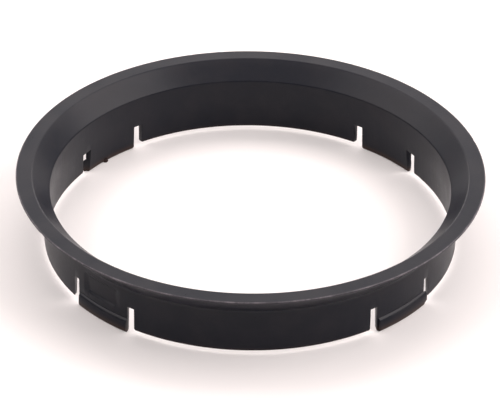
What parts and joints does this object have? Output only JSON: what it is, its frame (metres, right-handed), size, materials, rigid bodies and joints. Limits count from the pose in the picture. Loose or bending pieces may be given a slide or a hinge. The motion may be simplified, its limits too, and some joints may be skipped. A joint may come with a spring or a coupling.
{
  "type": "hub centric ring",
  "caption": "Moulded sleeve ring with a flared flange, lead-in cone, plain bore and a slotted spigot with snap tabs, to centre a wheel on a smaller hub.",
  "frame": {"origin": "on the ring's axis, at the level of the snap tabs' tips", "axes": "+Z along the axis, out of the flat flange face; +X to the right and +Y away from the viewer of the picture"},
  "size_m": [0.0836, 0.0836, 0.0141],
  "materials": {
    "ring": "satin"
  },
  "bodies": {
    "root": {"ring": "ring"}
  },
  "joints": []
}
